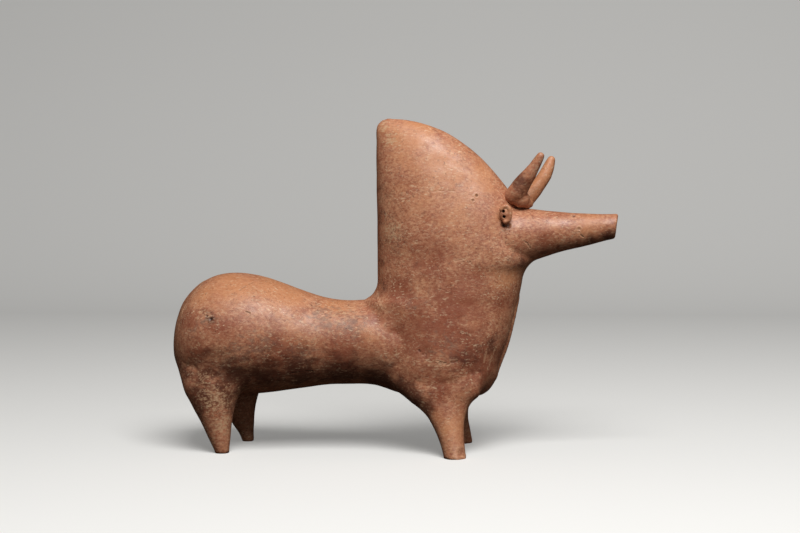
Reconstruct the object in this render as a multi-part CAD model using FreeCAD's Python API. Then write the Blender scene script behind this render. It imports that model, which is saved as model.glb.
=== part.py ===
import FreeCAD, Part
import math
import os

Vector = FreeCAD.Vector

# Zebu-shaped pouring vessel of burnished terracotta, in millimetres.
# The head looks along +X, the animal's left is +Y, and the feet stand on Z = 0.
# Each piece is the clay form that the potter shaped before luting it on.

# Wall of the hollow body
wall = 6.0

# Lengths along the animal
barrel_length = 151.2          # end of the rump to the rear edge of the hump
forequarter_length = 110.2     # rear edge of the hump to the throat
muzzle_length = 63.2           # throat to the mouth

# Rump and barrel
rump_radius = 44.7             # seen from the side
rump_reach = 46.0              # centre of the rump to its end
rump_power = 2.5               # bluntness of the end
rump_drop = 7.5                # end of the rump below its centre
rump_half_width = 44.0
rump_centre_height = 84.0
waist_half_height = 30.5
waist_half_width = 30.0
waist_centre_height = 78.3
waist_gap = 21.0               # waist to the rear edge of the hump
belly_drop = 5.0               # sag of the belly where it meets the chest
collar_radius = 14.0           # clay smoothed into the corner behind the hump
collar_seam = 2.0              # seam of the barrel behind that clay
throat_radius = 9.0            # clay smoothed under the root of the head
corner_fill = 0.96             # share of the quarter round that the clay fills

# Chest and hump
crest_height = 240.4
crest_wall = 1.6               # clay under the crest, in walls
crest_corner = 8.5             # rounding of the hump's rear corner
crest_power = 1.5              # fullness of the slope from the crest to the throat
crest_round = 2.0              # and how steeply it leaves the crest's height
hump_power = 1.5               # fullness of the hump seen from the front
throat_height = 150.0
throat_half_width = 30.0
chest_height = 62.0            # where the chest starts to round under
chest_half_width = 35.0
chest_lean = 21.5              # how far the chest falls back below the throat
chest_curve = 1.25             # how late it falls back
brisket_height = 37.0
brisket_forward = 4.0          # lowest point of the chest ahead of its middle
brisket_power = 2.08           # fullness of the rounding under the chest

# Head, drawn out into the spout
head_root_half_height = 19.4
head_root_half_width = 18.0
head_root_height = 155.4
mouth_half_height = 8.9
mouth_half_width = 8.0
mouth_height = 162.3
mouth_slant = 9.0              # degrees that the upper lip stands ahead of the lower
muzzle_power = 1.5             # how quickly the head narrows
bore_radius = 4.5
bore_length = 24.0
neck_bore_radius = 11.5        # where the neck opens into the chest
neck_bore_length = 54.0
neck_seam = 2.0                # seam of the muzzle ahead of the throat, on its axis
neck_seam_gap = 3.6            # and ahead of the hump, at the height of the horns' roots

# Horns
horn_root_radius = 8.2
horn_tip_radius = 2.4
horn_taper = 1.25              # how late the horns thin
horn_spacing = 20.0            # between the roots, across the head
horn_spread = 31.0             # between the tips
horn_root_height = 182.0
right_horn_root = -10.4        # roots and tips, ahead of the throat
right_horn_reach = 10.4
right_horn_height = 214.8
left_horn_root = -3.6
left_horn_reach = 17.2
left_horn_height = 212.0

# Ears, pierced pellets pressed on beside the head
ear_height = 12.0
ear_width = 8.4
ear_stand = 24.5               # outer face from the middle of the head
ear_centre_height = 171.6
ear_back = 16.0                # centre behind the throat
ear_thickness = 12.0
piercing_radius = 0.9
piercing_depth = 4.0
piercing_spacing = 4.2

# Legs
leg_flare_power = 3.6          # how late the legs spread into the body, ahead of them
leg_web_power = 4.0            # and behind them
fore_foot_radius = 8.0
fore_foot_spread = 68.0        # between the foot centres
fore_foot_back = 51.1          # right forefoot behind the throat
fore_foot_offset = -2.0        # left forefoot ahead of the right one
fore_leg_lean = 0.225          # shift to the rear per unit of height
fore_leg_splay = 0.33          # shift to the middle per unit of height
fore_leg_taper = 0.035
fore_leg_flare = 22.0          # spread of the shoulder ahead of the leg
fore_leg_web = 27.5            # and behind it, along the belly
fore_leg_flare_width = 5.0     # and across the body
fore_shoulder_height = 47.0
fore_shoulder_dome = 44.0      # rounding over the shoulder, inside the chest
hind_foot_radius = 5.1
hind_foot_spread = 54.0
hind_foot_place = 39.9         # right hind foot ahead of the rump's end
hind_foot_offset = 5.8         # left hind foot ahead of the right one
hind_leg_lean = 0.215
hind_leg_splay = 0.10
hind_leg_taper = 0.25
hind_leg_flare = 11.0
hind_leg_web = 4.5
hind_leg_flare_width = -1.5
haunch_height = 50.0
haunch_dome = 50.0

# Tail and dewlap, thin strips smoothed on along the middle line
tail_width = 8.0
tail_proud = 1.8
tail_start = 58.0              # degrees above level, about the rump's centre
tail_end = -14.0
dewlap_width = 5.0
dewlap_proud = 1.6
dewlap_top = 112.0
dewlap_bottom = 52.0

oval_points = 12
least_step = 2.0               # between level sections

# Stations that follow from the sizes, with the whole length centred on X = 0
overall_length = tail_proud + barrel_length + forequarter_length + muzzle_length
rump_x = tail_proud - overall_length / 2
hump_x = rump_x + barrel_length
throat_x = hump_x + forequarter_length
mouth_x = throat_x + muzzle_length
rump_centre_x = rump_x + rump_reach
waist_x = hump_x - waist_gap
back_height = waist_centre_height + waist_half_height
jaw_height = head_root_height - head_root_half_height


def ease(share):
    return (1 - math.cos(math.pi * share)) / 2


def quarter(share, power):
    return max(0.0, 1 - share ** power) ** (1 / power)


def between(low, high, share):
    return low + (high - low) * share


def oval(centre, side, up):
    points = []
    for step in range(oval_points):
        turn = 2 * math.pi * step / oval_points
        points.append(centre + side * math.cos(turn) + up * math.sin(turn))
    curve = Part.BSplineCurve()
    curve.interpolate(Points=points, PeriodicFlag=True, Parameters=list(range(oval_points + 1)))
    return Part.Wire([curve.toShape()])


def standing_oval(x, height, half_width, half_height):
    return oval(Vector(x, 0, height), Vector(0, half_width, 0), Vector(0, 0, half_height))


def lying_oval(x, y, height, half_length, half_width):
    return oval(Vector(x, y, height), Vector(0, half_width, 0), Vector(half_length, 0, 0))


def tip(x, y, height):
    return Part.Vertex(x, y, height)


def loft(sections):
    return Part.makeLoft(sections, True)


def barrel_form(inset):
    # A ball at the rump that eases into the waist and runs on into the chest.
    radius = rump_radius - inset
    reach = rump_reach - inset
    half_width = rump_half_width - inset
    sections = [tip(rump_centre_x - reach, 0, rump_centre_height - rump_drop)]
    for turn in (14, 32, 52, 72):
        share = math.cos(math.radians(turn))
        size = quarter(share, rump_power)
        sections.append(standing_oval(rump_centre_x - reach * share,
                                      rump_centre_height - rump_drop * share ** 2,
                                      half_width * size, radius * size))
    steps = 6
    for step in range(steps + 1):
        share = step / steps
        narrowing = ease(share)
        sections.append(standing_oval(
            between(rump_centre_x, waist_x, share),
            between(rump_centre_height, waist_centre_height, narrowing),
            between(half_width, waist_half_width - inset, narrowing),
            between(radius, waist_half_height - inset, narrowing)))
    steps = 3
    for step in range(steps + 1):
        x = hump_x + forequarter_length / 3 * step / steps
        drop = belly_drop / 2 * min(1, step)
        sections.append(standing_oval(x, waist_centre_height - drop, waist_half_width - inset,
                                      waist_half_height + drop - inset))
    return loft(sections)


def clay_corner(distance, radius):
    # How far the clay filled into a corner stands out, this far from the other wall.
    share = corner_fill * min(1.0, max(0.0, 1 - distance / radius))
    return radius * (1 - math.sqrt(1 - share * share))


def collar(height):
    # Clay behind the hump, over the back and fading down the flanks.
    if height > back_height:
        return clay_corner(height - back_height, collar_radius)
    share = max(0.0, (height - chest_height) / (back_height - chest_height))
    return clay_corner(0, collar_radius) * ease(share) ** 2


def gullet(height):
    # Clay under the jaw, fading into the head.
    if height < jaw_height:
        return clay_corner(jaw_height - height, throat_radius)
    share = max(0.0, (head_root_height - height) / head_root_half_height)
    return clay_corner(0, throat_radius) * ease(share)


def chest_ends(height):
    # Rear end, front end and closing of the level section at this height, without collar or gullet.
    fall = min(1.0, (throat_height - height) / (throat_height - chest_height))
    front = throat_x - chest_lean * fall ** chest_curve
    below = max(0.0, (chest_height - height) / (chest_height - brisket_height))
    closing = quarter(below, brisket_power)
    middle = (front + hump_x) / 2 + brisket_forward * (1 - closing)
    reach = (front - hump_x) / 2 * closing
    return middle - reach, middle + reach, closing


def hump_ends(height):
    # The same above the throat, up to the crest.
    share = (height - throat_height) / (crest_height - throat_height)
    above = max(0.0, height - (crest_height - crest_corner)) / crest_corner
    rear = hump_x + crest_corner * (1 - math.sqrt(max(0.0, 1 - above * above)))
    slope = max(0.0, 1 - share ** crest_power) ** (1 / crest_round)
    front = hump_x + crest_corner + (forequarter_length - crest_corner) * slope
    return rear, front, quarter(share, hump_power)


def forequarter_section(height, inset, stretch):
    # Level section; the inner form is pressed in by the wall and squeezed in height by stretch.
    if height < throat_height:
        rear, front, closing = chest_ends(height)
        fall = min(1.0, (throat_height - height) / (throat_height - chest_height))
        half_width = between(throat_half_width, chest_half_width, ease(fall)) * closing
    else:
        rear, front, closing = hump_ends(height)
        half_width = throat_half_width * closing
    if inset == 0:
        rear -= collar(height)
        front += gullet(height)
    half_length = (front - rear) / 2
    share = (half_length - inset * closing) / half_length
    return lying_oval((rear + front) / 2, 0, stretch(height), half_length * share,
                      half_width - inset * closing)


def forequarter_levels():
    # Heights of the sections, close together where the clay turns quickly.
    low = chest_height - brisket_height
    levels = [chest_height - low * below for below in (0.97, 0.85, 0.62, 0.3)]
    levels += [between(chest_height, back_height, share) for share in (0, 0.35, 0.7)]
    levels += [back_height + collar_radius * share for share in (0.04, 0.2, 0.45, 0.8)]
    levels += [jaw_height - throat_radius * share for share in (0.9, 0.5, 0.2)]
    levels += [between(jaw_height, throat_height, share) for share in (0.4, 1)]
    for turn in (16, 32, 46, 58, 68, 76, 83):
        levels.append(between(throat_height, crest_height, math.sin(math.radians(turn))))
    kept = []
    for level in sorted(levels):
        if not kept or level - kept[-1] > least_step or level > crest_height - crest_corner:
            kept.append(level)
    return kept


def forequarter_form(inset):
    crest = crest_height - inset * crest_wall
    squeeze = (crest - brisket_height - inset) / (crest_height - brisket_height)

    def stretch(height):
        return brisket_height + inset + (height - brisket_height) * squeeze

    middle = (chest_ends(chest_height)[1] + hump_x) / 2 + brisket_forward
    sections = [tip(middle, 0, stretch(brisket_height))]
    for height in forequarter_levels():
        sections.append(forequarter_section(height, inset, stretch))
    sections.append(tip(hump_x + crest_corner, 0, stretch(crest_height)))
    return loft(sections)


def head_form():
    sections = [standing_oval(throat_x - forequarter_length / 4, head_root_height,
                              head_root_half_width, head_root_half_height)]
    slant = math.radians(mouth_slant)
    steps = 6
    for step in range(steps + 1):
        share = step / steps
        narrowing = (1 - share) ** muzzle_power
        half_width = between(mouth_half_width, head_root_half_width, narrowing)
        half_height = between(mouth_half_height, head_root_half_height, narrowing)
        lean = slant * share
        up = Vector(math.sin(lean) * half_height, 0, math.cos(lean) * half_height)
        centre = Vector(between(throat_x, mouth_x, share) - up.x, 0,
                        between(head_root_height, mouth_height, share))
        sections.append(oval(centre, Vector(0, half_width, 0), up))
    return loft(sections)


def spout_bore():
    # A straight mouth, in line with the head's root, that opens into a wider neck inside the head.
    mouth = Vector(mouth_x, 0, mouth_height)
    out = (mouth - Vector(throat_x, 0, head_root_height)).normalize()
    throat = mouth - out * bore_length
    mouth_bore = Part.makeCylinder(bore_radius, bore_length + mouth_half_height, throat, out)
    neck = Part.makeCone(bore_radius, neck_bore_radius, neck_bore_length, throat, -out)
    return mouth_bore.fuse(neck)


def horn(side, root_place, reach, height):
    root = Vector(throat_x + root_place, side * horn_spacing / 2, horn_root_height)
    end = Vector(throat_x + reach, side * horn_spread / 2, height)
    along = end - root
    across = Vector(0, 1, 0)
    back = across.cross(along).normalize()
    sections = []
    for share in (-0.3, 0.0, 0.3, 0.6, 0.85, 0.97):
        thickness = between(horn_root_radius, horn_tip_radius, max(0.0, share) ** horn_taper)
        if share > 0.9:
            thickness *= 0.6
        sections.append(oval(root + along * share, across * thickness, back * thickness))
    sections.append(tip(end.x, end.y, end.z))
    return loft(sections)


def ear(side):
    ball = Part.makeSphere(0.5)
    stretch = FreeCAD.Matrix()
    stretch.scale(Vector(ear_width, ear_thickness, ear_height))
    pellet = ball.transformGeometry(stretch)
    centre = Vector(throat_x - ear_back, side * (ear_stand - ear_thickness / 2), ear_centre_height)
    pellet.translate(centre)
    for offset in (-piercing_spacing / 2, piercing_spacing / 2):
        outer = Vector(centre.x, side * (ear_stand + piercing_depth), centre.z + offset)
        pellet = pellet.cut(Part.makeCylinder(piercing_radius, 2 * piercing_depth, outer,
                                              Vector(0, -side, 0)))
    return pellet


def leg(x, y, sole, lean, splay, taper, flare, web, flare_width, shoulder, dome):
    # A round sole that rises, leans and spreads into a shoulder with a domed top.
    inward = -1 if y > 0 else 1
    sections = []
    steps = 6
    for step in range(steps + 1):
        share = step / steps
        height = shoulder * share
        size = sole + taper * height
        front = x - lean * height + size + flare * share ** leg_flare_power
        rear = x - lean * height - size - web * share ** leg_web_power
        width = size + flare_width * share ** leg_flare_power
        middle = Vector((front + rear) / 2, y + inward * splay * height, height)
        sections.append(lying_oval(middle.x, middle.y, height, (front - rear) / 2, width))
    for rise in (0.35, 0.65, 0.88):
        closing = quarter(rise, 2)
        sections.append(lying_oval(middle.x, middle.y, shoulder + dome * rise,
                                   (front - rear) / 2 * closing, width * closing))
    sections.append(tip(middle.x, middle.y, shoulder + dome))
    return loft(sections)


def fore_leg(x, side):
    return leg(x, side * fore_foot_spread / 2, fore_foot_radius, fore_leg_lean, fore_leg_splay,
               fore_leg_taper, fore_leg_flare, fore_leg_web, fore_leg_flare_width,
               fore_shoulder_height, fore_shoulder_dome)


def hind_leg(x, side):
    return leg(x, side * hind_foot_spread / 2, hind_foot_radius, hind_leg_lean, hind_leg_splay,
               hind_leg_taper, hind_leg_flare, hind_leg_web, hind_leg_flare_width,
               haunch_height, haunch_dome)


def rump_point(turn):
    # On the rump's outline in the middle plane, by degrees above its end.
    share = math.cos(math.radians(turn))
    rise = math.copysign(rump_radius * quarter(share, rump_power), turn)
    return Vector(rump_centre_x - rump_reach * share, 0,
                  rump_centre_height - rump_drop * share ** 2 + rise)


def tail_form():
    # A rod bent round the rump's outline, sinking in at both ends.
    radius = tail_width / 2
    sections = []
    steps = 8
    for step in range(steps + 1):
        share = step / steps
        turn = between(tail_start, tail_end, share)
        along = (rump_point(turn + 1) - rump_point(turn - 1)).normalize()
        outward = Vector(-along.z, 0, along.x)
        proud = tail_proud * math.sin(math.pi * between(0.12, 0.9, share))
        sections.append(oval(rump_point(turn) + outward * (proud - radius),
                             Vector(0, radius, 0), outward * radius))
    return loft(sections)


def dewlap_form():
    radius = dewlap_width / 2
    sections = []
    steps = 6
    for step in range(steps + 1):
        share = step / steps
        height = between(dewlap_bottom, dewlap_top, share)
        proud = dewlap_proud * math.sin(math.pi * between(0.2, 0.85, share))
        front = chest_ends(height)[1] + gullet(height)
        sections.append(lying_oval(front + proud - radius, 0, height, radius, radius))
    return loft(sections)


def neck_lean():
    # Degrees that the neck's seam leans back, to pass between the hump and the horns.
    above = horn_root_height - head_root_height
    behind = throat_x + neck_seam - (hump_ends(horn_root_height)[1] + neck_seam_gap)
    return math.degrees(math.atan2(behind, above))


def block_behind(x, height, lean):
    # Everything behind a plane through a point of the middle line, leaning back by some degrees.
    size = 3 * overall_length
    block = Part.makeBox(size, size, size, Vector(-size, -size / 2, -size / 2))
    block.rotate(Vector(0, 0, 0), Vector(0, 1, 0), -lean)
    block.translate(Vector(x, 0, height))
    return block


def save(name, shape):
    solids = shape.Solids
    if len(solids) != 1:
        print(name, "has", len(solids), "solids", [round(s.Volume) for s in solids])
    shape = solids[0] if len(solids) == 1 else Part.makeCompound(solids)
    print(name, round(shape.Volume), shape.isValid(), len(shape.Faces))
    shape.exportStep(os.path.join("parts", name + ".step"))


def build():
    os.makedirs("parts", exist_ok=True)
    outer = barrel_form(0).fuse(forequarter_form(0)).fuse(head_form())
    cavity = barrel_form(wall).fuse(forequarter_form(wall)).fuse(spout_bore())
    hollow = outer.cut(cavity)

    behind_collar = block_behind(hump_x - collar_radius - collar_seam, waist_centre_height, 0)
    behind_neck = block_behind(throat_x + neck_seam, head_root_height, neck_lean())
    save("barrel", hollow.common(behind_collar))
    save("chest_and_hump", hollow.cut(behind_collar).common(behind_neck))
    save("head_spout", hollow.cut(behind_neck))

    left_horn = horn(1, left_horn_root, left_horn_reach, left_horn_height)
    right_horn = horn(-1, right_horn_root, right_horn_reach, right_horn_height)
    save("left_horn", left_horn.cut(outer))
    save("right_horn", right_horn.cut(outer))
    save("left_ear", ear(1).cut(outer).cut(left_horn))
    save("right_ear", ear(-1).cut(outer).cut(right_horn))

    fore_x = throat_x - fore_foot_back
    hind_x = rump_x + hind_foot_place
    save("front_left_leg", fore_leg(fore_x + fore_foot_offset, 1).cut(outer))
    save("front_right_leg", fore_leg(fore_x, -1).cut(outer))
    save("rear_left_leg", hind_leg(hind_x + hind_foot_offset, 1).cut(outer))
    save("rear_right_leg", hind_leg(hind_x, -1).cut(outer))

    save("tail_ridge", tail_form().cut(outer))
    save("dewlap_ridge", dewlap_form().cut(outer))


build()
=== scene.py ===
import bpy
import bmesh
import math
import numpy as np
from mathutils import Matrix, Vector, noise
from mathutils.bvhtree import BVHTree


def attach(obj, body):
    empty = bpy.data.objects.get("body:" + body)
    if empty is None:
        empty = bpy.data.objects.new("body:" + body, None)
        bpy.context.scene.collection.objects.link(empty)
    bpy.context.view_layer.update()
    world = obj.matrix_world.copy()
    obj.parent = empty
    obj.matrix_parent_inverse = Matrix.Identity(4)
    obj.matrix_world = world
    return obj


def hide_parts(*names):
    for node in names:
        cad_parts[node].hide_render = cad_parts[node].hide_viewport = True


# Zebu pouring vessel in burnished terracotta, in metres, head towards +X
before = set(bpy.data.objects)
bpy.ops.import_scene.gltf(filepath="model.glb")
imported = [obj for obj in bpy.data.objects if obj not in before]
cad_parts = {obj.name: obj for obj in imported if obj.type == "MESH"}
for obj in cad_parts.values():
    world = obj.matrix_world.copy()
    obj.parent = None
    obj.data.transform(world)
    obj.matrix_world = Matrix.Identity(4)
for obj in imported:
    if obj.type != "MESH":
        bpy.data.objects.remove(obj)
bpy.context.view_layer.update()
mm = 0.001


def linear(hexColour):
    # sRGB hex to the linear colour that shaders take
    parts = [int(hexColour[i:i + 2], 16) / 255 for i in (1, 3, 5)]
    return tuple(p / 12.92 if p <= 0.04045 else ((p + 0.055) / 1.055) ** 2.4 for p in parts) + (1.0,)


def smoothStep(low, high, value):
    t = np.clip((value - low) / (high - low), 0, 1)
    return t * t * (3 - 2 * t)


# camera: a little ahead of the flank and above it; the frame is the one that pixels below are read in
camera = {
    "place": Vector((0.17433, -1.17689, 0.20476)),
    "aim": Vector((0.0060, 0.0, 0.1335)),
    "roll": math.radians(-0.52),
    "lens": 73.86,
    "sensor": 36.0,
    "farthest": 20,
    "width": 800,
    "height": 533,
}


def cameraAxes():
    back = (camera["place"] - camera["aim"]).normalized()
    right = Vector((0, 0, 1)).cross(back).normalized()
    up = back.cross(right)
    turn = camera["roll"]
    return (right * math.cos(turn) + up * math.sin(turn),
            up * math.cos(turn) - right * math.sin(turn), back)


def makeCamera():
    right, up, back = cameraAxes()
    data = bpy.data.cameras.new("studioCamera")
    data.lens = camera["lens"]
    data.sensor_width = camera["sensor"]
    data.sensor_fit = "HORIZONTAL"
    data.clip_end = camera["farthest"]
    made = bpy.data.objects.new("studioCamera", data)
    made.matrix_world = Matrix((right, up, back)).transposed().to_4x4()
    made.location = camera["place"]
    bpy.context.scene.collection.objects.link(made)
    bpy.context.scene.camera = made


def sightLine(pixel):
    # direction of the ray through a pixel of the frame
    right, up, back = cameraAxes()
    reach = camera["lens"] / camera["sensor"] * camera["width"]
    across = (pixel[0] - camera["width"] / 2) / reach
    down = (pixel[1] - camera["height"] / 2) / reach
    return (right * across - up * down - back).normalized()


def onPlane(pixel, y):
    # point seen at a pixel, at this distance from the middle plane
    sight = sightLine(pixel)
    return camera["place"] + sight * ((y - camera["place"].y) / sight.y)


makeCamera()
print("camera set")


def linked(name, data):
    made = bpy.data.objects.new(name, data)
    bpy.context.scene.collection.objects.link(made)
    return made


def pointsOf(obj):
    points = np.empty(len(obj.data.vertices) * 3, np.float32)
    obj.data.vertices.foreach_get("co", points)
    return points.reshape(-1, 3).astype(float)


def normalsOf(obj):
    normals = np.empty(len(obj.data.vertices) * 3, np.float32)
    obj.data.vertex_normals.foreach_get("vector", normals)
    return normals.reshape(-1, 3).astype(float)


def setPoints(obj, points):
    obj.data.vertices.foreach_set("co", points.astype(np.float32).ravel())
    obj.data.update()


def neighboursOf(obj):
    # pairs of points that share an edge, and how many neighbours each point has
    pairs = np.empty(len(obj.data.edges) * 2, np.int32)
    obj.data.edges.foreach_get("vertices", pairs)
    return pairs.reshape(-1, 2), np.bincount(pairs, minlength=len(obj.data.vertices)).astype(float)


def neighbourMean(values, pairs, counts):
    total = np.zeros_like(values)
    columns = values.reshape(len(values), -1)
    sums = total.reshape(len(values), -1)
    for c in range(columns.shape[1]):
        sums[:, c] = (np.bincount(pairs[:, 0], columns[pairs[:, 1], c], len(values))
                      + np.bincount(pairs[:, 1], columns[pairs[:, 0], c], len(values)))
    sums /= counts[:, None]
    return total


def lumps(points, size, shift):
    # smooth noise from -1 to 1, with lumps of about this size
    offset = Vector(shift)
    scaled = points / size
    return np.array([noise.noise(Vector(p) + offset) for p in scaled])


def waves(points, layers):
    # height of the hand's unevenness; each layer has a size and a depth in mm, and a place in the noise
    return sum(depth * mm * lumps(points, size * mm, shift) for size, depth, shift in layers)


def distances(points, centre):
    return np.sqrt(((points - np.array(centre)) ** 2).sum(1))


def remeshed(obj, voxel):
    # overlapping lumps made into one closed skin
    remesh = obj.modifiers.new("oneSkin", "REMESH")
    remesh.mode = "VOXEL"
    remesh.voxel_size = voxel
    graph = bpy.context.evaluated_depsgraph_get()
    data = bpy.data.meshes.new_from_object(obj.evaluated_get(graph))
    obj.modifiers.clear()
    obj.data = data
    return obj


# the clay body: barrel, chest, head, legs, tail and dewlap, luted and smoothed into one skin; sizes in mm.
# kneaded and dabs give a pixel, the distance from the middle plane, a radius, and for dabs a height
body = {
    "nodes": ["barrel", "chest_and_hump", "head_spout",
              "front_left_leg", "front_right_leg", "rear_left_leg", "rear_right_leg",
              "tail_ridge", "dewlap_ridge"],
    "voxel": 1.15,
    "evenRounds": 4,
    "evenIn": 0.5,
    "evenOut": 0.52,
    "creaseRounds": 60,
    "creaseDepth": 0.045,
    "creaseFull": 3,
    "creaseSpread": 9,
    "creaseGrow": 1.02,
    "creaseBlur": 3,
    "ridgeHalfWidth": 5,
    "lips": 140,
    "wipe": 0.5,
    "kneaded": [((218, 362), -34, 17), ((246, 374), -29, 14), ((186, 374), -20, 17),
                ((402, 384), -24, 15), ((432, 372), -33, 10), ((524, 265), 0, 12),
                ((487, 385), -18, 11), ((388, 318), -32, 13)],
    "kneadRounds": 330,
    "kneadCore": 0.35,
    "dabs": [((484, 393), 0, 11, 2.4), ((497, 370), 0, 12, -0.8), ((371, 296), 0, 9, 0.6),
             ((374, 386), 0, 13, 1.7), ((410, 393), -18, 12, 1.7), ((424, 402), -22, 11, 1.9),
             ((436, 424), -28, 11, 1.4), ((590, 242), 0, 18, 0.9), ((190, 405), -24, 16, 0.8),
             ((237, 436), 27, 8, -1.5), ((190, 287), 0, 12, -0.8), ((471, 425), -30, 10, 0.7)],
    "grooves": [{"low": 46, "high": 112, "facing": 1, "beyond": 50,
                 "aside": 3.4, "width": 1.0, "depth": 0.55},
                {"low": 64, "high": 122, "facing": -1, "beyond": 125,
                 "aside": 4.4, "width": 1.1, "depth": 0.60}],
    "grooveEnd": 10,
    "grooveFacing": (0.15, 0.5),
    "waves": [(46, 0.50, (3.1, 7.7, 1.9)), (17, 0.22, (9.4, 2.2, 6.5)), (6, 0.07, (5.8, 1.3, 8.1))],
    "calmAtFeet": (0.5, 9),
    "sole": 0.7,
}


def evened(points, pairs, counts):
    # voxel steps taken out, without shrinking the form
    for _ in range(body["evenRounds"]):
        points += body["evenIn"] * (neighbourMean(points, pairs, counts) - points)
        points -= body["evenOut"] * (neighbourMean(points, pairs, counts) - points)
    return points


def wipeCreases(points, normals, pairs, counts):
    # hollow corners between the lumps of clay are wiped smooth with a wet finger
    hollow = np.einsum("ij,ij->i", neighbourMean(points, pairs, counts) - points, normals)
    shallow = body["creaseDepth"] * body["voxel"] * mm
    wiped = smoothStep(shallow, body["creaseFull"] * shallow, hollow)
    ridge = body["ridgeHalfWidth"] * mm
    wiped *= smoothStep(ridge, 2 * ridge, abs(points[:, 1]))
    wiped *= points[:, 0] < body["lips"] * mm
    for _ in range(body["creaseSpread"]):
        wiped = np.maximum(wiped, neighbourMean(wiped, pairs, counts) * body["creaseGrow"])
    wiped = np.clip(wiped, 0, 1)
    for _ in range(body["creaseBlur"]):
        wiped = neighbourMean(wiped, pairs, counts)
    for _ in range(body["creaseRounds"]):
        points += (body["wipe"] * wiped)[:, None] * (neighbourMean(points, pairs, counts) - points)
    return points


def kneadClay(points, pairs):
    # haunches and shoulders are kneaded into the body, alike on both flanks
    kneaded = np.zeros(len(points))
    flank = np.stack([points[:, 0], abs(points[:, 1]), points[:, 2]], axis=1)
    for pixel, y, radius in body["kneaded"]:
        centre = np.array(onPlane(pixel, y * mm))
        centre[1] = abs(centre[1])
        share = smoothStep(1.0, body["kneadCore"], distances(flank, centre) / (radius * mm))
        kneaded = np.maximum(kneaded, share)
    used, local = np.unique(pairs[(kneaded[pairs] > 0).any(1)], return_inverse=True)
    local = local.reshape(-1, 2)
    counts = np.bincount(local.ravel(), minlength=len(used)).astype(float)
    soft = (body["wipe"] * kneaded[used])[:, None]
    patch = points[used]
    for _ in range(body["kneadRounds"]):
        patch += soft * (neighbourMean(patch, local, counts) - patch)
    points[used] = patch
    return points


def dabAndGroove(points, normals):
    # dabs of clay that fill the outline, and a tool run along both sides of the tail and the dewlap
    for pixel, y, radius, height in body["dabs"]:
        share = np.exp(-(distances(points, onPlane(pixel, y * mm)) / (radius * mm)) ** 2)
        points += normals * (height * mm * share)[:, None]
    for groove in body["grooves"]:
        low, high, end = groove["low"] * mm, groove["high"] * mm, body["grooveEnd"] * mm
        level = smoothStep(low, low + end, points[:, 2]) * smoothStep(high, high - end, points[:, 2])
        level *= smoothStep(*body["grooveFacing"], normals[:, 0] * groove["facing"])
        level *= points[:, 0] * groove["facing"] > groove["beyond"] * mm
        line = np.exp(-((abs(points[:, 1]) / mm - groove["aside"]) / groove["width"]) ** 2)
        points -= normals * (groove["depth"] * mm * level * line)[:, None]
    return points


def makeSkin():
    shell = bmesh.new()
    for node in body["nodes"]:
        shell.from_mesh(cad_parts[node].data)
    data = bpy.data.meshes.new("clayBody")
    shell.to_mesh(data)
    shell.free()
    skin = remeshed(linked("clayBody", data), body["voxel"] * mm)
    pairs, counts = neighboursOf(skin)
    setPoints(skin, evened(pointsOf(skin), pairs, counts))
    setPoints(skin, kneadClay(wipeCreases(pointsOf(skin), normalsOf(skin), pairs, counts), pairs))
    setPoints(skin, dabAndGroove(pointsOf(skin), normalsOf(skin)))
    return skin


skin = makeSkin()
print("body skin", len(skin.data.vertices), "points")


def skinTree():
    return BVHTree.FromPolygons([v.co for v in skin.data.vertices],
                                [p.vertices for p in skin.data.polygons])


def onSkin(tree, pixel):
    # the clay's point and normal at a pixel
    spot, normal, _, _ = tree.ray_cast(camera["place"], sightLine(pixel))
    if spot is None:
        print("no clay at", pixel)
        return None
    return np.array(spot), np.array(normal)


def waveSkin():
    # the even hand pressure of building and burnishing; the feet stand flat
    points = pointsOf(skin)
    low, high = body["calmAtFeet"]
    height = waves(points, body["waves"]) * smoothStep(low * mm, high * mm, points[:, 2])
    points += normalsOf(skin) * height[:, None]
    points[:, 2] = np.where(points[:, 2] < body["sole"] * mm, 0, points[:, 2])
    setPoints(skin, points)


waveSkin()
print("body waved")

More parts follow.
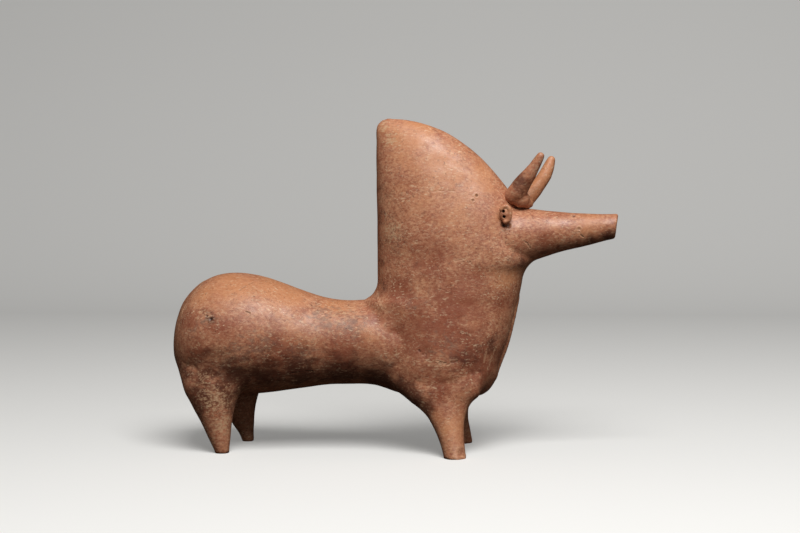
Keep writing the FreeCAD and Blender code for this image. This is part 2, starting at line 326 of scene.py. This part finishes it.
# marks of use and burial: pixel path, radius and depth in mm, how dark and how pale the mark is; the dark
# is painted shade in each mark's hollow and under the ear, and the pale is scratched clay with painted
# highlight along the tail and the dewlap
marks = {
    "pits": [([(211, 319)], 1.1, 0.7, 1.0, 0.0), ([(207, 316)], 0.8, 0.4, 0.7, 0.0),
             ([(476.7, 195.5)], 0.9, 0.6, 0.8, 0.2), ([(473, 200.3)], 0.8, 0.5, 0.6, 0.3),
             ([(574, 216)], 0.9, 0.6, 0.9, 0.0), ([(503.5, 225)], 1.6, 1.5, 1.0, 0.0),
             ([(508, 226)], 1.7, 0.8, 0.5, 0.0), ([(426, 354)], 4.5, 0.5, 0.15, 0.0),
             ([(462, 454)], 3.0, 0.9, 0.0, 0.2), ([(579, 229)], 1.0, 0.4, 0.5, 0.2),
             ([(470, 262)], 0.7, 0.3, 0.4, 0.2)],
    "strokes": [([(429, 192), (442, 190.5), (455, 191)], 0.6, 0.22, 0.2, 0.3),
                ([(523.5, 241), (527, 243), (530, 247.5)], 0.5, 0.4, 0.6, 0.7),
                ([(578.5, 232), (581, 235), (584, 238)], 0.6, 0.5, 0.6, 0.6),
                ([(455, 261), (465, 259)], 0.4, 0.15, 0.1, 0.6),
                ([(435, 362.5), (445, 363.5), (457, 361.5)], 0.9, 0.35, 0.5, 0.4),
                ([(434, 365), (441, 365.5), (449, 364.5)], 0.5, 0.2, 0.0, 0.8),
                ([(437, 361), (442, 362)], 0.5, 0.2, 0.0, 0.7),
                ([(201, 285.5), (192, 296), (183, 311), (179, 328)], 0.9, 0.35, 0.3, 0.6),
                ([(246, 311.5), (250, 313)], 0.5, 0.3, 0.7, 0.3),
                ([(488, 368), (491, 358), (496, 347)], 0.4, 0.12, 0.0, 0.9),
                ([(484, 362), (486, 352)], 0.35, 0.1, 0.0, 0.6),
                ([(292, 373), (302, 371.5), (312, 371)], 0.6, 0.3, 0.5, 0.0),
                ([(377, 293), (379, 301), (382, 308)], 0.4, 0.15, 0.0, 0.9),
                ([(240, 290), (247, 285), (256, 281)], 0.6, 0.2, 0.4, 0.1),
                ([(418, 349), (421, 353.5), (426, 355)], 0.9, 0.35, 0.5, 0.0)],
    "samples": 9,
    "breakSize": 1.7,
    "breakEdge": 0.3,
    "fineRounds": (1.0, 0.75),
    "fineReach": 2.6,
    "fineMargin": 0.8,
    "influence": 4,
    "rimOut": 1.7,
    "rimWidth": 0.6,
    "rimHeight": 0.2,
    "scuff": 0.5,
}


def markPlaces(tree, path):
    # the mark's path, sampled and laid on the clay
    places = []
    spans = list(zip(path, path[1:])) or [(path[0], path[0])]
    for (x0, y0), (x1, y1) in spans:
        for share in np.linspace(0, 1, marks["samples"]):
            hit = onSkin(tree, (x0 + (x1 - x0) * share, y0 + (y1 - y0) * share))
            if hit:
                places.append(hit)
    return places


def refineSkin(placed):
    # finer facets round each mark
    shell = bmesh.new()
    shell.from_mesh(skin.data)
    for reach in marks["fineRounds"]:
        points = np.array([v.co for v in shell.verts])
        near = np.zeros(len(points), bool)
        for places, radius, _, _, _ in placed:
            wide = (radius * marks["fineReach"] * reach + marks["fineMargin"]) * mm
            for spot, _ in places:
                near |= distances(points, spot) < wide
        shell.verts.ensure_lookup_table()
        edges = [e for e in shell.edges if near[e.verts[0].index] and near[e.verts[1].index]]
        bmesh.ops.subdivide_edges(shell, edges=edges, cuts=1, use_grid_fill=True)
        shell.verts.index_update()
    shell.to_mesh(skin.data)
    shell.free()


def pressMarks():
    tree = skinTree()
    placed = []
    for path, radius, depth, dark, pale in marks["pits"] + marks["strokes"]:
        placed.append((markPlaces(tree, path), radius, depth, dark, pale))
    refineSkin(placed)
    points = pointsOf(skin)
    shade = np.zeros(len(points))
    light = np.zeros(len(points))
    for places, radius, depth, dark, pale in placed:
        if not places:
            continue
        size = radius * mm
        away = np.min([distances(points, spot) for spot, _ in places], axis=0)
        broken = np.ones(len(points))
        if len(places) > marks["samples"]:
            # a long stroke skips over the high spots
            near = away < marks["influence"] * size
            patchy = lumps(points[near], marks["breakSize"] * mm, (0, 0, 0))
            broken[near] = smoothStep(-marks["breakEdge"], marks["breakEdge"], patchy)
        sunk = broken * np.exp(-(away / size) ** 2)
        rim = broken * np.exp(-((away - marks["rimOut"] * size) / (marks["rimWidth"] * size)) ** 2)
        inward = -np.mean([normal for _, normal in places], axis=0)
        points += inward * (depth * mm * (sunk - marks["rimHeight"] * rim))[:, None]
        # painted shade in each mark's hollow
        shade = np.maximum(shade, dark * sunk)
        # pale on the rim and in the hollow: scratched clay, with painted highlight along the tail's edge
        # and the dewlap
        light = np.maximum(light, pale * np.maximum(rim, marks["scuff"] * sunk))
    points[:, 2] = np.maximum(points[:, 2], 0)
    setPoints(skin, points)
    return shade, light


shade, light = pressMarks()
print("marks pressed", len(skin.data.vertices), "points")

# how the firing and the soil coloured the clay, with painted light on the tops and painted shade under the
# barrel and chest, along the hump's rear edge, in the throat and at the horn roots: pixel, radius in mm,
# strength
patches = {
    # paler clay on the tops of the rump, hump and muzzle and on lit sides, partly wear and partly painted
    # light where the lamp falls
    "orangeAndLight": [((235, 284), 24, 0.8), ((280, 290), 26, 0.9), ((335, 303), 18, 0.6), ((205, 292), 14, 0.6),
               ((415, 135), 20, 0.8), ((440, 165), 24, 0.8), ((480, 180), 16, 0.7), ((500, 215), 12, 0.5),
               ((590, 225), 14, 0.5), ((552, 228), 12, 0.4), ((512, 280), 14, 0.6), ((452, 425), 14, 0.7),
               ((300, 330), 16, 0.4), ((360, 335), 12, 0.4), ((455, 215), 22, 0.5)],
    "redBrown": [((420, 330), 26, 0.7), ((455, 300), 26, 0.8), ((462, 345), 20, 0.8), ((400, 290), 16, 0.7),
                 ((480, 370), 20, 0.7), ((375, 320), 6, 0.9), ((195, 345), 12, 0.7), ((225, 330), 14, 0.5),
                 ((280, 348), 22, 0.6), ((430, 260), 20, 0.5), ((345, 350), 20, 0.7), ((500, 300), 14, 0.4),
                 ((400, 180), 12, 0.4), ((545, 245), 12, 0.5), ((445, 390), 16, 0.5), ((186, 320), 9, 0.7)],
    # dark fire clouds, with painted shade under the barrel and chest, along the hump's rear edge, in the
    # throat, under the muzzle and at the horn roots
    "sootAndShade": [((262, 372), 18, 0.8), ((300, 372), 18, 0.8), ((340, 372), 18, 0.8), ((380, 380), 18, 0.8),
             ((410, 398), 14, 0.8), ((235, 378), 18, 0.8), ((205, 372), 16, 0.6), ((187, 372), 10, 0.6),
             ((200, 400), 14, 0.7), ((228, 402), 12, 0.6), ((470, 358), 16, 0.5), ((381, 262), 9, 0.35),
             ((381, 190), 9, 0.35), ((381, 215), 9, 0.35), ((381, 240), 9, 0.35), ((383, 285), 9, 0.4),
             ((523, 262), 5, 0.6), ((608, 238), 6, 0.8), ((590, 242), 6, 0.5), ((402, 388), 11, 0.9),
             ((415, 398), 9, 0.9), ((427, 408), 7, 0.7), ((492, 345), 10, 0.5), ((212, 318), 5, 0.6),
             ((512, 199), 4, 0.6), ((519, 208), 4, 0.5)],
    "grey": [((325, 318), 14, 0.7), ((350, 326), 14, 0.7), ((262, 345), 16, 0.6), ((240, 350), 14, 0.6),
             ((300, 352), 14, 0.5), ((207, 320), 8, 0.7), ((395, 240), 12, 0.5), ((445, 345), 16, 0.5),
             ((415, 300), 12, 0.5), ((515, 262), 8, 0.5), ((194, 330), 8, 0.5), ((225, 375), 16, 0.5)],
    "crust": [((215, 400), 16, 0.9), ((222, 425), 10, 1.0), ((200, 378), 14, 0.7), ((236, 390), 12, 0.6),
              ((196, 345), 9, 0.6), ((205, 312), 8, 0.7), ((391, 140), 10, 0.8), ((384, 127), 6, 0.9),
              ((392, 232), 13, 0.9), ((402, 258), 12, 0.6), ((386, 200), 8, 0.6), ((250, 365), 12, 0.4),
              ((343, 313), 12, 0.7), ((410, 385), 10, 0.5), ((402, 352), 9, 0.5), ((450, 362), 9, 0.5),
              ((318, 330), 16, 0.5), ((255, 290), 9, 0.6), ((285, 292), 9, 0.5), ((370, 330), 12, 0.4),
              ((453, 448), 5, 0.6), ((430, 190), 10, 0.35), ((600, 228), 7, 0.4)],
}

# painted shade on the underside, darker where the clay faces down: how far the clay faces down, height
# above the feet in mm
undersideShade = {
    "facing": (0.1, -0.7),
    "height": (6, 26),
    "sootAndShade": 0.2,
}


def setMasks(obj, masks):
    # painted on the points, so the shader reads them by name
    for name, mask in masks.items():
        layer = obj.data.attributes.new(name, "FLOAT", "POINT")
        layer.data.foreach_set("value", mask.astype(np.float32))


def paintSkin():
    # each patch lies alike on both flanks, broken up by the shader's patterns
    tree = skinTree()
    points = pointsOf(skin)
    mirrored = points.copy()
    mirrored[:, 1] = abs(points[:, 1])
    masks = {"holeShade": shade, "scratchAndHighlight": light}
    for name, spots in patches.items():
        mask = np.zeros(len(points))
        for pixel, radius, strength in spots:
            hit = onSkin(tree, pixel)
            if hit:
                centre = hit[0] * (1, np.sign(hit[0][1]), 1)
                share = np.exp(-(distances(mirrored, centre) / (radius * mm)) ** 2)
                mask = np.maximum(mask, strength * share)
        masks[name] = mask
    # painted shade: the clay that faces down is darkened, above the feet
    low, high = undersideShade["height"]
    under = smoothStep(*undersideShade["facing"], normalsOf(skin)[:, 2])
    under *= smoothStep(low * mm, high * mm, points[:, 2])
    masks["sootAndShade"] = np.maximum(masks["sootAndShade"], undersideShade["sootAndShade"] * under)
    setMasks(skin, masks)


def setInFrame(obj, *nodes):
    obj.data.polygons.foreach_set("use_smooth", [True] * len(obj.data.polygons))
    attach(obj, "root")
    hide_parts(*nodes)


paintSkin()
setInFrame(skin, *body["nodes"])
print("patches laid")


def clayFromBalls(name, balls, voxel, rounds):
    # lumps of clay pressed into one piece; each ball has a centre and three half sizes
    shell = bmesh.new()
    for centre, sizes in balls:
        turn = Matrix.Translation(centre) @ Matrix.Diagonal((*sizes, 1))
        bmesh.ops.create_icosphere(shell, subdivisions=3, radius=1, matrix=turn)
    data = bpy.data.meshes.new(name)
    shell.to_mesh(data)
    shell.free()
    made = remeshed(linked(name, data), voxel * mm)
    points = pointsOf(made)
    pairs, counts = neighboursOf(made)
    for _ in range(rounds):
        points += body["wipe"] * (neighbourMean(points, pairs, counts) - points)
    setPoints(made, points)
    return made


# horns: tapered rolls pinched on to the crown; pixel, distance from the middle plane, half thickness in mm
horns = {
    "right": {
        "node": "right_horn",
        "roll": [((513.5, 195.5), -9.0, 6.6), ((517, 192), -10.0, 7.0), ((520.5, 186.5), -11.2, 6.5),
                 ((525, 179.8), -12.4, 5.6), ((530, 173.5), -13.4, 4.9), ((534.6, 166.5), -14.4, 4.0),
                 ((538.3, 159.8), -15.3, 3.4), ((540.5, 156.0), -15.5, 2.9)],
        "lumps": [((521, 199), -7.5, 6.4), ((526.5, 203), -4.0, 3.9)],
        "fireCloud": ((521, 182), -14, 7.0),
        "orangeAndLight": 0.15,
    },
    "left": {
        "node": "left_horn",
        "roll": [((523, 203), 9.0, 6.2), ((528, 197.5), 10.0, 6.0), ((534, 191), 11.4, 5.6),
                 ((540, 183), 12.6, 5.1), ((544.9, 175.5), 13.6, 4.9), ((548.1, 168.5), 14.5, 4.4),
                 ((550.2, 163), 15.2, 3.7), ((551.3, 159.8), 15.5, 3.1)],
        "lumps": [((526.5, 204.5), 2.0, 3.4), ((529.5, 204.0), 6.0, 2.8)],
        "fireCloud": ((526, 204), -2, 3.0),
        "orangeAndLight": 0.9,
    },
    "voxel": 0.42,
    "ballsPerStep": 9,
    "rounds": 20,
    "waves": [(11, 0.28, (1.7, 4.1, 8.8)), (4, 0.08, (6.2, 0.4, 2.9))],
}


def makeHorn(side):
    horn = horns[side]
    centres = np.array([onPlane(pixel, y * mm) for pixel, y, _ in horn["roll"]])
    sizes = np.array([size * mm for _, _, size in horn["roll"]])
    order = np.arange(len(sizes))
    balls = []
    for at in np.linspace(0, len(sizes) - 1, horns["ballsPerStep"] * len(sizes)):
        centre = [np.interp(at, order, centres[:, k]) for k in range(3)]
        balls.append((centre, [np.interp(at, order, sizes)] * 3))
    for pixel, y, size in horn["lumps"]:
        balls.append((list(onPlane(pixel, y * mm)), [size * mm] * 3))
    made = clayFromBalls(side + "Horn", balls, horns["voxel"], horns["rounds"])
    points = pointsOf(made)
    points += normalsOf(made) * waves(points, horns["waves"])[:, None]
    setPoints(made, points)
    pixel, y, radius = horn["fireCloud"]
    cloud = np.exp(-(distances(points, onPlane(pixel, y * mm)) / (radius * mm)) ** 2)
    setMasks(made, {"sootAndShade": cloud, "orangeAndLight": np.full(len(points), horn["orangeAndLight"])})
    setInFrame(made, horn["node"])
    return made


# ears: pellets pressed on beside the head, rimmed and pierced twice; the right ear's pixels, sizes in mm
ears = {
    "right": {"node": "right_ear", "mirrored": False},
    "left": {"node": "left_ear", "mirrored": True},
    "face": -23.0,
    "pellet": ((505.2, 214), (4.4, 3.6, 6.1)),
    "pelletIn": 2.2,
    "rim": [(501.5, 209.5), (503.5, 206.8), (506.8, 206.2), (509.3, 208.6), (510.2, 212.6),
            (509.8, 217), (508.2, 220.6), (505.2, 221.8)],
    "rimSize": 1.7,
    "rimIn": 0.3,
    "rimBalls": 40,
    "piercings": [(503.4, 211.4), (504.1, 216.8)],
    "piercingRadius": 0.95,
    "piercingDepth": 2.6,
    "piercingReach": 1.4,
    "piercingShadeReach": 1.15,
    "orangeAndLight": 0.5,
    "voxel": 0.3,
    "rounds": 9,
}


def makeEar(side):
    ear = ears[side]
    face = ears["face"] * mm
    centre, sizes = ears["pellet"]
    balls = [(onPlane(centre, face) + Vector((0, ears["pelletIn"] * mm, 0)), [s * mm for s in sizes])]
    rim = np.array([onPlane(pixel, face) for pixel in ears["rim"]])
    for at in np.linspace(0, len(rim) - 1, ears["rimBalls"]):
        middle = [np.interp(at, np.arange(len(rim)), rim[:, k]) for k in range(3)]
        middle[1] = face + ears["rimIn"] * mm
        balls.append((middle, [ears["rimSize"] * mm] * 3))
    made = clayFromBalls(side + "Ear", balls, ears["voxel"], ears["rounds"])
    points = pointsOf(made)
    holeShade = np.zeros(len(points))
    outer = points[:, 1] < face + ears["piercingReach"] * mm
    for pixel in ears["piercings"]:
        middle = onPlane(pixel, face)
        away = np.hypot(points[:, 0] - middle.x, points[:, 2] - middle.z) / (ears["piercingRadius"] * mm)
        points[:, 1] += np.exp(-away ** 4) * outer * ears["piercingDepth"] * mm
        # painted shade in and round each piercing, a little wider than the bore
        holeShade = np.maximum(holeShade, np.exp(-(away / ears["piercingShadeReach"]) ** 4) * outer)
    if ear["mirrored"]:
        points[:, 1] *= -1
        made.data.flip_normals()
    setPoints(made, points)
    setMasks(made, {"holeShade": holeShade, "orangeAndLight": np.full(len(points), ears["orangeAndLight"])})
    setInFrame(made, ear["node"])
    return made


pieces = [skin, makeHorn("right"), makeHorn("left"), makeEar("right"), makeEar("left")]
print("horns and ears made")


def addNode(tree, kind, settings=None, links=None):
    # one node, its settings and its incoming links
    made = tree.nodes.new(kind)
    for name, value in (settings or {}).items():
        if isinstance(name, int) or name in made.inputs:
            made.inputs[name].default_value = value
        else:
            setattr(made, name, value)
    for name, source in (links or {}).items():
        tree.links.new(source, made.inputs[name])
    return made


# terracotta: iron-rich clay with chaff temper, slipped, burnished with a pebble and fired in an open pit.
# To the eye: satin orange to red-brown, dark fire clouds, and a pale soil crust left from burial; painted
# shade darkens the underside, the hump's rear edge and the pits, and painted light brightens the tops.
# A pattern is its size in mm, its detail and stretch, where in the noise it starts and is full, and the
# most it covers. Sand, chaff and soil grains under 1 mm are drawn a little coarser, so that they still show
terracotta = {
    "clay": "#bb7a5a",
    "mottle": [("#c98d68", 34, 3.0, (1, 1, 1), 0.40, 0.62, 0.55),      # hand-sized paler areas of slip
               ("#9c583e", 21, 4.0, (1, 1, 1), 0.42, 0.66, 0.65),      # redder areas, fired with more air
               ("#9a563c", 5.5, 4.0, (1, 1, 1), 0.45, 0.65, 0.55),     # finger-wide dabs of slip
               ("#cf9a74", 3.0, 3.0, (1, 1, 1), 0.50, 0.68, 0.50),     # worn high spots
               ("#80442f", 1.8, 4.0, (1.6, 1, 1), 0.47, 0.66, 0.60),   # coarse grains
               ("#deaa84", 1.3, 4.0, (1.8, 1, 1), 0.49, 0.67, 0.55)],  # fine pale grains
    # mask, colour, size in mm of its broken edge, weight of the mask, where it starts and is full, most
    # paler colour: wear, and painted light on the tops
    "patches": [("orangeAndLight", "#cb8a5e", 15, 1.5, 0.75, 1.50, 0.65),
                ("redBrown", "#8d4a33", 12, 1.5, 0.75, 1.50, 0.75),
                ("grey", "#7b5f50", 3.5, 1.0, 0.85, 1.35, 0.60),
                # dark brown: fire clouds, and painted shade on the underside and in the hollows
                ("sootAndShade", "#54291b", 6, 1.5, 0.80, 1.50, 0.80),
                ("crust", "#cba27c", 1.9, 0.75, 1.00, 1.28, 0.80)],
    "patchEdge": (6.0, (1.4, 1, 1), 0.3, 0.7, 1.0),
    "drift": (16, 3.0, (1, 1, 1), 0.35, 0.65, 1.0),
    "chaff": ("#e2c09c", 1.4, 4.0, (2.2, 1, 0.9), 0.55, 0.67, 0.75),
    "soil": ("#43241a", 1.5, 4.0, (0.9, 1, 1.3), 0.57, 0.69, 0.65),
    # nearly black painted shade in the pits, the piercings and under the ear
    "holeShade": "#1c0f0a",
    # pale scratched clay, and painted highlight along the tail's edge and the dewlap
    "scratchAndHighlight": "#d8ab86",
    "ragged": 0.6,
    "swirl": 0.4,
    "ior": 1.5,
    "burnished": 0.33,
    "worn": 0.62,
    "gloss": (8, 4.0, (1.6, 1, 1), 0.3, 0.7, 1.0),
    "grain": (0.9, 3.0, (1, 1, 1), 0.3, 0.7, 1.0),
    "pebbleStroke": (2.2, 3.0, (3.5, 1, 1), 0.3, 0.7, 1.0),
    "strokeShare": 0.6,
    "reliefDepth": 0.12,
    "reliefStrength": 0.35,
}


def makeTerracotta():
    material = bpy.data.materials.new("burnishedTerracotta")
    material.use_nodes = True
    tree = material.node_tree
    tree.nodes.clear()
    where = addNode(tree, "ShaderNodeTexCoord").outputs["Object"]

    def pattern(size, detail, stretch, low, high, most):
        # blotches of a size in mm, from none to most
        spread = addNode(tree, "ShaderNodeMapping", {"Scale": tuple(1 / s for s in stretch)},
                         {"Vector": where})
        field = addNode(tree, "ShaderNodeTexNoise",
                        {"Scale": 1 / (size * mm), "Detail": detail,
                         "Roughness": terracotta["ragged"], "Distortion": terracotta["swirl"]},
                        {"Vector": spread.outputs[0]})
        return addNode(tree, "ShaderNodeMapRange", {"From Min": low, "From Max": high, "To Max": most},
                       {"Value": field.outputs[0]}).outputs[0]

    # what lies on the ground colour, from the clay outwards: the share that it covers, and its colour
    coats = [(pattern(*shape), hexColour) for hexColour, *shape in terracotta["mottle"]]
    covered = {}
    for name, hexColour, size, weight, low, high, most in terracotta["patches"]:
        mask = addNode(tree, "ShaderNodeAttribute", {"attribute_name": name})
        edge = addNode(tree, "ShaderNodeMath", {"operation": "MULTIPLY_ADD", 1: weight},
                       {0: mask.outputs["Fac"], 2: pattern(size, *terracotta["patchEdge"])})
        covered[name] = addNode(tree, "ShaderNodeMapRange",
                                {"From Min": low, "From Max": high, "To Max": most},
                                {"Value": edge.outputs[0]}).outputs[0]
        coats.append((covered[name], hexColour))
    drift = pattern(*terracotta["drift"])
    for hexColour, *shape in (terracotta["chaff"], terracotta["soil"]):
        flecks = addNode(tree, "ShaderNodeMath", {"operation": "MULTIPLY"}, {0: pattern(*shape), 1: drift})
        coats.append((flecks.outputs[0], hexColour))
    for name in ("holeShade", "scratchAndHighlight"):
        mask = addNode(tree, "ShaderNodeAttribute", {"attribute_name": name})
        coats.append((mask.outputs["Fac"], terracotta[name]))

    ground = addNode(tree, "ShaderNodeRGB")
    ground.outputs[0].default_value = linear(terracotta["clay"])
    colour = ground.outputs[0]
    for share, hexColour in coats:
        colour = addNode(tree, "ShaderNodeMixRGB", {"Color2": linear(hexColour)},
                         {"Fac": share, "Color1": colour}).outputs[0]

    # burnished to a satin gloss, duller where it is worn or crusted
    dull = addNode(tree, "ShaderNodeMath", {"operation": "MAXIMUM"},
                   {0: pattern(*terracotta["gloss"]), 1: covered["crust"]})
    rough = addNode(tree, "ShaderNodeMapRange",
                    {"To Min": terracotta["burnished"], "To Max": terracotta["worn"]},
                    {"Value": dull.outputs[0]})
    relief = addNode(tree, "ShaderNodeMath", {"operation": "MULTIPLY_ADD", 1: terracotta["strokeShare"]},
                     {0: pattern(*terracotta["pebbleStroke"]), 2: pattern(*terracotta["grain"])})
    bump = addNode(tree, "ShaderNodeBump",
                   {"Strength": terracotta["reliefStrength"], "Distance": terracotta["reliefDepth"] * mm},
                   {"Height": relief.outputs[0]})
    shader = addNode(tree, "ShaderNodeBsdfPrincipled", {"IOR": terracotta["ior"]},
                     {"Base Color": colour, "Roughness": rough.outputs[0], "Normal": bump.outputs[0]})
    addNode(tree, "ShaderNodeOutputMaterial", {}, {"Surface": shader.outputs[0]})
    return material


clay = makeTerracotta()
for piece in pieces:
    piece.data.materials.clear()
    piece.data.materials.append(clay)
print("clay coloured")


# studio: a pale sweep, one large soft light above, a weak fill; it throws little light back on the clay
studio = {
    "floorColour": "#d5d4d1",
    "bounceColour": "#3a332d",
    "skyColour": "#c4c3c0",
    "glow": 0.32,
    "world": 0.12,
    "halfWidth": 6.0,
    "front": -6.0,
    "back": 1.6,
    "height": 2.2,
    "bend": 0.5,
    "bendSteps": 12,
    "lightsAim": (0, 0, 0.12),
    "lights": {
        "key": {"place": (0.27, -0.80, 1.26), "size": 0.85, "power": 23},
        "fill": {"place": (1.2, -0.8, 0.7), "size": 1.2, "power": 1.2},
    },
}


def makeStage():
    half, back, bend = studio["halfWidth"], studio["back"], studio["bend"]
    line = [(studio["front"], 0.0), (back - bend, 0.0)]
    for step in range(1, studio["bendSteps"] + 1):
        turn = math.pi / 2 * step / studio["bendSteps"]
        line.append((back - bend + bend * math.sin(turn), bend - bend * math.cos(turn)))
    line.append((back, studio["height"]))
    points = [(x, y, z) for y, z in line for x in (-half, half)]
    faces = [(2 * i, 2 * i + 1, 2 * i + 3, 2 * i + 2) for i in range(len(line) - 1)]
    data = bpy.data.meshes.new("studioSweep")
    data.from_pydata(points, [], faces)
    data.polygons.foreach_set("use_smooth", [True] * len(faces))
    data.update()
    sweep = linked("studioSweep", data)
    material = bpy.data.materials.new("mattPaperSweep")
    material.use_nodes = True
    tree = material.node_tree
    tree.nodes.clear()
    seen = addNode(tree, "ShaderNodeLightPath").outputs["Is Camera Ray"]
    pale = addNode(tree, "ShaderNodeBsdfDiffuse", {"Color": linear(studio["floorColour"])})
    glow = addNode(tree, "ShaderNodeEmission",
                   {"Color": linear(studio["floorColour"]), "Strength": studio["glow"]})
    lit = addNode(tree, "ShaderNodeAddShader", {}, {0: pale.outputs[0], 1: glow.outputs[0]})
    dim = addNode(tree, "ShaderNodeBsdfDiffuse", {"Color": linear(studio["bounceColour"])})
    mix = addNode(tree, "ShaderNodeMixShader", {}, {0: seen, 1: dim.outputs[0], 2: lit.outputs[0]})
    addNode(tree, "ShaderNodeOutputMaterial", {}, {"Surface": mix.outputs[0]})
    data.materials.append(material)


def makeLights():
    for name, lamp in studio["lights"].items():
        data = bpy.data.lights.new(name + "Light", "AREA")
        data.shape = "SQUARE"
        data.size = lamp["size"]
        data.energy = lamp["power"]
        made = linked(name + "Light", data)
        made.location = lamp["place"]
        aim = Vector(studio["lightsAim"]) - Vector(lamp["place"])
        made.rotation_euler = aim.to_track_quat("-Z", "Y").to_euler()
    world = bpy.data.worlds.new("studioWorld")
    world.use_nodes = True
    tree = world.node_tree
    tree.nodes.clear()
    seen = addNode(tree, "ShaderNodeLightPath").outputs["Is Camera Ray"]
    soft = addNode(tree, "ShaderNodeBackground", {"Color": (1, 1, 1, 1), "Strength": studio["world"]})
    pale = addNode(tree, "ShaderNodeBackground", {"Color": linear(studio["skyColour"])})
    mix = addNode(tree, "ShaderNodeMixShader", {}, {0: seen, 1: soft.outputs[0], 2: pale.outputs[0]})
    addNode(tree, "ShaderNodeOutputWorld", {}, {"Surface": mix.outputs[0]})
    bpy.context.scene.world = world
    bpy.context.scene.view_settings.view_transform = "Standard"


makeStage()
makeLights()
print("studio lit")
